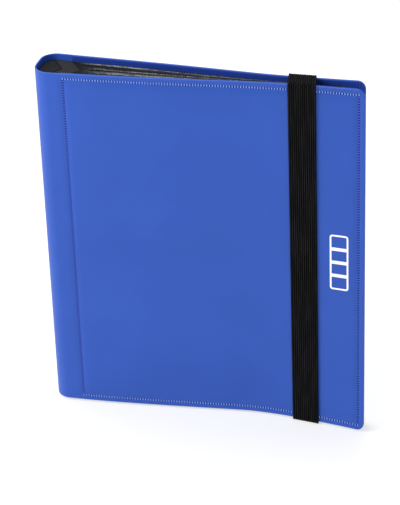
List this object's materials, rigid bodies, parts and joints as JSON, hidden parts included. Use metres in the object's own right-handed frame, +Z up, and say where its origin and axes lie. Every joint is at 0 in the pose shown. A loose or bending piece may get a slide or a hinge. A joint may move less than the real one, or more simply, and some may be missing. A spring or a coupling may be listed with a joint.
{
  "type": "trading card binder",
  "caption": "Side-loading card binder: flexible cover round a rounded spine, welded linings, black pocket leaves with clear film, and an elastic strap that holds it shut.",
  "frame": {"origin": "middle of the footprint, at the level of the strap under the lower edge", "axes": "+Z up along the spine, -Y out of the front cover, -X out of the spine, +X towards the fore-edge"},
  "size_m": [0.1792, 0.025, 0.2058],
  "materials": {
    "cover_sheet": "fine-grained blue polypropylene sheet with a soft sheen",
    "cover_lining": "blue polypropylene lining, a little darker than the outside",
    "print": "white screen print",
    "elastic": "black ribbed woven elastic",
    "core_sheet": "black embossed polypropylene sheet",
    "clear_film": "clear glossy polypropylene film",
    "binding": "black binding strip"
  },
  "bodies": {
    "spine": {"spine_sheet": "cover_sheet", "front_bend": "cover_sheet", "back_bend": "cover_sheet", "page_binding": "binding"},
    "front_cover": {"front_cover_sheet": "cover_sheet", "front_cover_lining": "cover_lining", "front_print": "print"},
    "back_cover": {"back_cover_sheet": "cover_sheet", "back_cover_lining": "cover_lining", "strap_end_top": "elastic", "strap_end_bottom": "elastic"},
    "strap": {"strap_front": "elastic", "strap_top": "elastic", "strap_bottom": "elastic"},
    "leaf_01": {"leaf_01_core": "core_sheet", "leaf_01_film": "clear_film"},
    "leaf_02": {"leaf_02_core": "core_sheet", "leaf_02_film": "clear_film"},
    "leaf_03": {"leaf_03_core": "core_sheet", "leaf_03_film": "clear_film"},
    "leaf_04": {"leaf_04_core": "core_sheet", "leaf_04_film": "clear_film"},
    "leaf_05": {"leaf_05_core": "core_sheet", "leaf_05_film": "clear_film"},
    "leaf_06": {"leaf_06_core": "core_sheet", "leaf_06_film": "clear_film"},
    "leaf_07": {"leaf_07_core": "core_sheet", "leaf_07_film": "clear_film"},
    "leaf_08": {"leaf_08_core": "core_sheet", "leaf_08_film": "clear_film"},
    "leaf_09": {"leaf_09_core": "core_sheet", "leaf_09_film": "clear_film"},
    "leaf_10": {"leaf_10_core": "core_sheet", "leaf_10_film": "clear_film"},
    "leaf_11": {"leaf_11_core": "core_sheet", "leaf_11_film": "clear_film"},
    "leaf_12": {"leaf_12_core": "core_sheet", "leaf_12_film": "clear_film"},
    "leaf_13": {"leaf_13_core": "core_sheet", "leaf_13_film": "clear_film"},
    "leaf_14": {"leaf_14_core": "core_sheet", "leaf_14_film": "clear_film"},
    "leaf_15": {"leaf_15_core": "core_sheet", "leaf_15_film": "clear_film"},
    "leaf_16": {"leaf_16_core": "core_sheet", "leaf_16_film": "clear_film"},
    "leaf_17": {"leaf_17_core": "core_sheet", "leaf_17_film": "clear_film"},
    "leaf_18": {"leaf_18_core": "core_sheet", "leaf_18_film": "clear_film"},
    "leaf_19": {"leaf_19_core": "core_sheet", "leaf_19_film": "clear_film"},
    "leaf_20": {"leaf_20_core": "core_sheet", "leaf_20_film": "clear_film"}
  },
  "joints": [
    {"name": "front_cover_hinge", "type": "hinge", "parent": "spine", "child": "front_cover", "pos_m": [-0.08692, -0.01017, 0], "axis": [0, 0, -1], "range_deg": [0, 92], "deforming": ["front_bend"]},
    {"name": "back_cover_hinge", "type": "hinge", "parent": "spine", "child": "back_cover", "pos_m": [-0.08692, 0.01017, 0], "axis": [0, 0, 1], "range_deg": [0, 92], "deforming": ["back_bend"]},
    {"name": "strap_swing", "type": "hinge", "parent": "back_cover", "child": "strap", "pos_m": [0.05575, 0, 0], "axis": [0, 0, 1], "range_deg": [0, 180], "deforming": ["strap_front", "strap_top", "strap_bottom"]},
    {"name": "leaf_01_turn", "type": "hinge", "parent": "spine", "child": "leaf_01", "pos_m": [-0.08404, -0.01045, 0], "axis": [0, 0, -1], "range_deg": [0, 91.99]},
    {"name": "leaf_02_turn", "type": "hinge", "parent": "spine", "child": "leaf_02", "pos_m": [-0.08326, -0.00935, 0], "axis": [0, 0, -1], "range_deg": [0, 91.67]},
    {"name": "leaf_03_turn", "type": "hinge", "parent": "spine", "child": "leaf_03", "pos_m": [-0.08248, -0.00825, 0], "axis": [0, 0, -1], "range_deg": [0, 91.34]},
    {"name": "leaf_04_turn", "type": "hinge", "parent": "spine", "child": "leaf_04", "pos_m": [-0.0817, -0.00715, 0], "axis": [0, 0, -1], "range_deg": [0, 91.01]},
    {"name": "leaf_05_turn", "type": "hinge", "parent": "spine", "child": "leaf_05", "pos_m": [-0.08092, -0.00605, 0], "axis": [0, 0, -1], "range_deg": [0, 90.67]},
    {"name": "leaf_06_turn", "type": "hinge", "parent": "spine", "child": "leaf_06", "pos_m": [-0.08014, -0.00495, 0], "axis": [0, 0, -1], "range_deg": [0, 90.33]},
    {"name": "leaf_07_turn", "type": "hinge", "parent": "spine", "child": "leaf_07", "pos_m": [-0.07936, -0.00385, 0], "axis": [0, 0, -1], "range_deg": [0, 89.98]},
    {"name": "leaf_08_turn", "type": "hinge", "parent": "spine", "child": "leaf_08", "pos_m": [-0.07858, -0.00275, 0], "axis": [0, 0, -1], "range_deg": [0, 89.63]},
    {"name": "leaf_09_turn", "type": "hinge", "parent": "spine", "child": "leaf_09", "pos_m": [-0.0778, -0.00165, 0], "axis": [0, 0, -1], "range_deg": [0, 89.28]},
    {"name": "leaf_10_turn", "type": "hinge", "parent": "spine", "child": "leaf_10", "pos_m": [-0.07702, -0.00055, 0], "axis": [0, 0, -1], "range_deg": [0, 88.92]},
    {"name": "leaf_11_turn", "type": "hinge", "parent": "spine", "child": "leaf_11", "pos_m": [-0.07702, 0.00055, 0], "axis": [0, 0, 1], "range_deg": [0, 88.92]},
    {"name": "leaf_12_turn", "type": "hinge", "parent": "spine", "child": "leaf_12", "pos_m": [-0.0778, 0.00165, 0], "axis": [0, 0, 1], "range_deg": [0, 89.28]},
    {"name": "leaf_13_turn", "type": "hinge", "parent": "spine", "child": "leaf_13", "pos_m": [-0.07858, 0.00275, 0], "axis": [0, 0, 1], "range_deg": [0, 89.63]},
    {"name": "leaf_14_turn", "type": "hinge", "parent": "spine", "child": "leaf_14", "pos_m": [-0.07936, 0.00385, 0], "axis": [0, 0, 1], "range_deg": [0, 89.98]},
    {"name": "leaf_15_turn", "type": "hinge", "parent": "spine", "child": "leaf_15", "pos_m": [-0.08014, 0.00495, 0], "axis": [0, 0, 1], "range_deg": [0, 90.33]},
    {"name": "leaf_16_turn", "type": "hinge", "parent": "spine", "child": "leaf_16", "pos_m": [-0.08092, 0.00605, 0], "axis": [0, 0, 1], "range_deg": [0, 90.67]},
    {"name": "leaf_17_turn", "type": "hinge", "parent": "spine", "child": "leaf_17", "pos_m": [-0.0817, 0.00715, 0], "axis": [0, 0, 1], "range_deg": [0, 91.01]},
    {"name": "leaf_18_turn", "type": "hinge", "parent": "spine", "child": "leaf_18", "pos_m": [-0.08248, 0.00825, 0], "axis": [0, 0, 1], "range_deg": [0, 91.34]},
    {"name": "leaf_19_turn", "type": "hinge", "parent": "spine", "child": "leaf_19", "pos_m": [-0.08326, 0.00935, 0], "axis": [0, 0, 1], "range_deg": [0, 91.67]},
    {"name": "leaf_20_turn", "type": "hinge", "parent": "spine", "child": "leaf_20", "pos_m": [-0.08404, 0.01045, 0], "axis": [0, 0, 1], "range_deg": [0, 91.99]}
  ],
  "couplings": [
    {"joint": "leaf_01_turn", "follows": "front_cover_hinge", "ratio": 0.99882},
    {"joint": "leaf_02_turn", "follows": "front_cover_hinge", "ratio": 0.9953},
    {"joint": "leaf_03_turn", "follows": "front_cover_hinge", "ratio": 0.99175},
    {"joint": "leaf_04_turn", "follows": "front_cover_hinge", "ratio": 0.98814},
    {"joint": "leaf_05_turn", "follows": "front_cover_hinge", "ratio": 0.98448},
    {"joint": "leaf_06_turn", "follows": "front_cover_hinge", "ratio": 0.98077},
    {"joint": "leaf_07_turn", "follows": "front_cover_hinge", "ratio": 0.97701},
    {"joint": "leaf_08_turn", "follows": "front_cover_hinge", "ratio": 0.9732},
    {"joint": "leaf_09_turn", "follows": "front_cover_hinge", "ratio": 0.96934},
    {"joint": "leaf_10_turn", "follows": "front_cover_hinge", "ratio": 0.96542},
    {"joint": "leaf_11_turn", "follows": "back_cover_hinge", "ratio": 0.96542},
    {"joint": "leaf_12_turn", "follows": "back_cover_hinge", "ratio": 0.96934},
    {"joint": "leaf_13_turn", "follows": "back_cover_hinge", "ratio": 0.9732},
    {"joint": "leaf_14_turn", "follows": "back_cover_hinge", "ratio": 0.97701},
    {"joint": "leaf_15_turn", "follows": "back_cover_hinge", "ratio": 0.98077},
    {"joint": "leaf_16_turn", "follows": "back_cover_hinge", "ratio": 0.98448},
    {"joint": "leaf_17_turn", "follows": "back_cover_hinge", "ratio": 0.98814},
    {"joint": "leaf_18_turn", "follows": "back_cover_hinge", "ratio": 0.99175},
    {"joint": "leaf_19_turn", "follows": "back_cover_hinge", "ratio": 0.9953},
    {"joint": "leaf_20_turn", "follows": "back_cover_hinge", "ratio": 0.99882}
  ]
}
